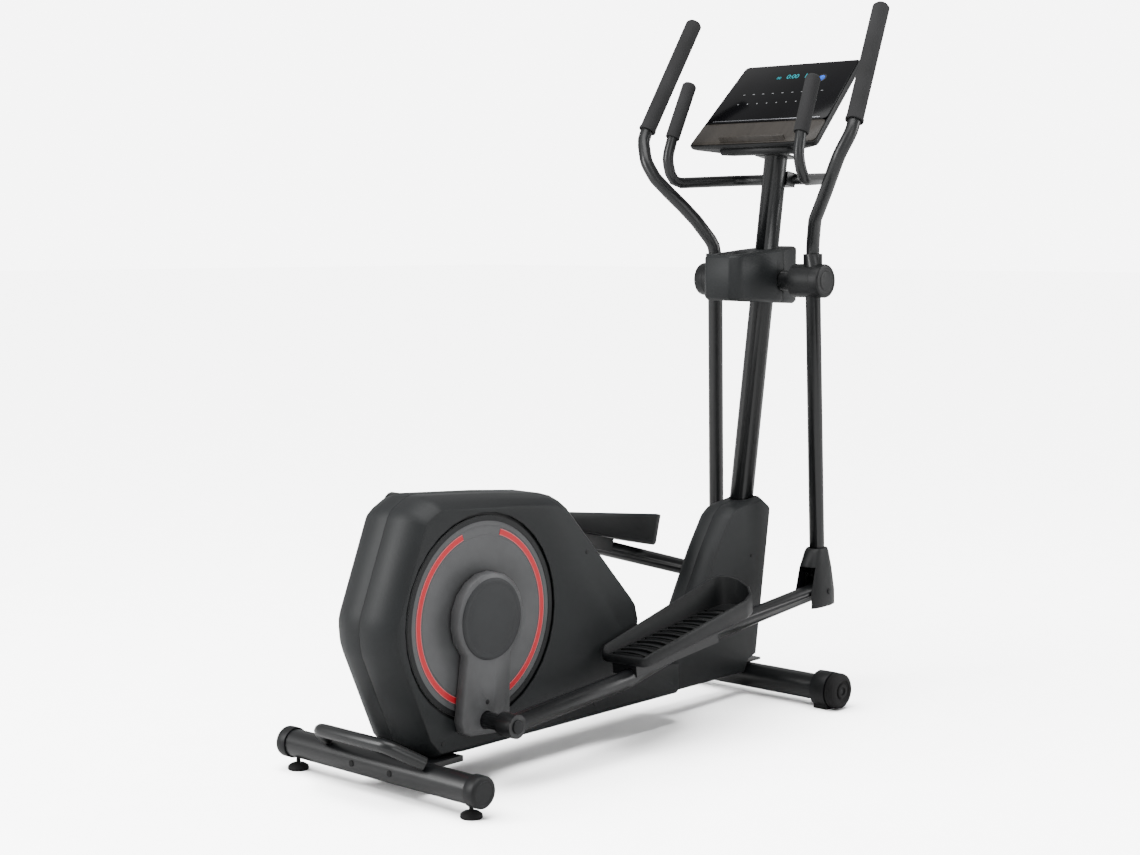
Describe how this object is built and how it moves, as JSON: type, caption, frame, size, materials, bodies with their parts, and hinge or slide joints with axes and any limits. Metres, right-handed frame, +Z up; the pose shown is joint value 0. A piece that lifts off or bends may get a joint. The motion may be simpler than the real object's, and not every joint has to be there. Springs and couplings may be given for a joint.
{
  "type": "elliptical trainer",
  "caption": "Rear-drive elliptical trainer: housed crank with round side discs, rolling pedal arms with foot trays, swinging handlebars, leaning mast and console.",
  "frame": {"origin": "on the floor under the middle of the machine's bounding box", "axes": "+X towards the console end, +Y to the user's left, +Z up"},
  "size_m": [1.5622, 0.6798, 1.7087],
  "materials": {
    "powder_coat": "semi-gloss black powder coat",
    "charcoal_plastic": "fine-grained charcoal",
    "black_plastic": "satin black",
    "disc_plastic": "satin mid grey",
    "cap_plastic": "satin dark grey",
    "foam": "closed-cell foam",
    "rubber": "matte",
    "steel": "machined",
    "cast_iron": "turned",
    "zinc": "zinc plated",
    "gloss_panel": "gloss black with teal figures",
    "tray": "dark bronze"
  },
  "bodies": {
    "root": {"main_frame": "powder_coat", "mast": "powder_coat", "rear_stabilizer": "powder_coat", "front_stabilizer": "powder_coat", "rear_cap_right": "black_plastic", "rear_cap_left": "black_plastic", "front_cap_right": "black_plastic", "front_cap_left": "black_plastic", "lift_handle": "powder_coat", "crank_bearing": "steel", "flywheel_axle": "steel", "brake_pivot": "powder_coat", "resistance_motor": "black_plastic", "wire_harness": "black_plastic", "power_inlet": "black_plastic", "drive_shroud_right": "charcoal_plastic", "drive_shroud_left": "charcoal_plastic", "mast_cover_right": "charcoal_plastic", "mast_cover_left": "charcoal_plastic", "mid_cover_rear": "charcoal_plastic", "mid_cover_front": "charcoal_plastic", "pivot_axle": "steel", "fixed_handlebar": "powder_coat", "pulse_grip_right": "foam", "pulse_grip_left": "foam", "console_housing": "black_plastic", "console_fascia": "gloss_panel", "console_tray": "tray", "drive_belt": "rubber"},
    "crank": {"crank_axle": "steel", "drive_pulley": "black_plastic", "crank_disc_right": "disc_plastic", "crank_disc_left": "disc_plastic", "crank_arm_right": "powder_coat", "crank_arm_left": "powder_coat", "crank_cover_right": "disc_plastic", "crank_cover_left": "disc_plastic", "hub_cap_right": "cap_plastic", "hub_cap_left": "cap_plastic"},
    "flywheel": {"flywheel": "cast_iron"},
    "brake": {"magnet_brake": "zinc"},
    "swing_right": {"swing_arm_right": "powder_coat", "hub_cover_right": "black_plastic", "arm_boot_right": "black_plastic", "handlebar_right": "powder_coat", "handlebar_grip_right": "foam"},
    "pedal_right": {"pedal_arm_right": "powder_coat", "pedal_right": "black_plastic"},
    "wheel_right": {"transport_wheel_right": "rubber"},
    "foot_right": {"levelling_foot_right": "rubber"},
    "swing_left": {"swing_arm_left": "powder_coat", "hub_cover_left": "black_plastic", "arm_boot_left": "black_plastic", "handlebar_left": "powder_coat", "handlebar_grip_left": "foam"},
    "pedal_left": {"pedal_arm_left": "powder_coat", "pedal_left": "black_plastic"},
    "wheel_left": {"transport_wheel_left": "rubber"},
    "foot_left": {"levelling_foot_left": "rubber"}
  },
  "joints": [
    {"name": "crank_spin", "type": "hinge", "parent": "root", "child": "crank", "pos_m": [-0.48149, 0, 0.3485], "axis": [0, 1, 0], "continuous": true},
    {"name": "flywheel_spin", "type": "hinge", "parent": "root", "child": "flywheel", "pos_m": [-0.19099, 0, 0.29], "axis": [0, 1, 0], "continuous": true},
    {"name": "brake_swing", "type": "hinge", "parent": "root", "child": "brake", "pos_m": [-0.05499, 0, 0.145], "axis": [0, 1, 0], "range_deg": [0, 6]},
    {"name": "swing_right_hinge", "type": "hinge", "parent": "root", "child": "swing_right", "pos_m": [0.61461, -0.152, 1.0365], "axis": [0, 1, 0], "range_deg": [-14.3, 14.3]},
    {"name": "swing_left_hinge", "type": "hinge", "parent": "root", "child": "swing_left", "pos_m": [0.61461, 0.152, 1.0365], "axis": [0, 1, 0], "range_deg": [-14.3, 14.3]},
    {"name": "pedal_right_hinge", "type": "hinge", "parent": "swing_right", "child": "pedal_right", "pos_m": [0.63953, -0.16, 0.2639], "axis": [0, 1, 0], "range_deg": [0, 29]},
    {"name": "pedal_left_hinge", "type": "hinge", "parent": "swing_left", "child": "pedal_left", "pos_m": [0.64018, 0.16, 0.26392], "axis": [0, 1, 0], "range_deg": [-29, 0]},
    {"name": "wheel_right_spin", "type": "hinge", "parent": "root", "child": "wheel_right", "pos_m": [0.53351, -0.2977, 0.0462], "axis": [0, 1, 0], "continuous": true},
    {"name": "wheel_left_spin", "type": "hinge", "parent": "root", "child": "wheel_left", "pos_m": [0.53351, 0.2977, 0.0462], "axis": [0, 1, 0], "continuous": true},
    {"name": "foot_right_screw", "type": "hinge", "parent": "root", "child": "foot_right", "pos_m": [-0.69099, -0.264, 0.02], "axis": [0, 0, 1], "continuous": true},
    {"name": "foot_left_screw", "type": "hinge", "parent": "root", "child": "foot_left", "pos_m": [-0.69099, 0.264, 0.02], "axis": [0, 0, 1], "continuous": true}
  ],
  "couplings": [
    {"joint": "flywheel_spin", "follows": "crank_spin", "ratio": 7.647},
    {"joint": "swing_left_hinge", "follows": "swing_right_hinge", "ratio": -1},
    {"joint": "pedal_left_hinge", "follows": "pedal_right_hinge", "ratio": -1}
  ]
}
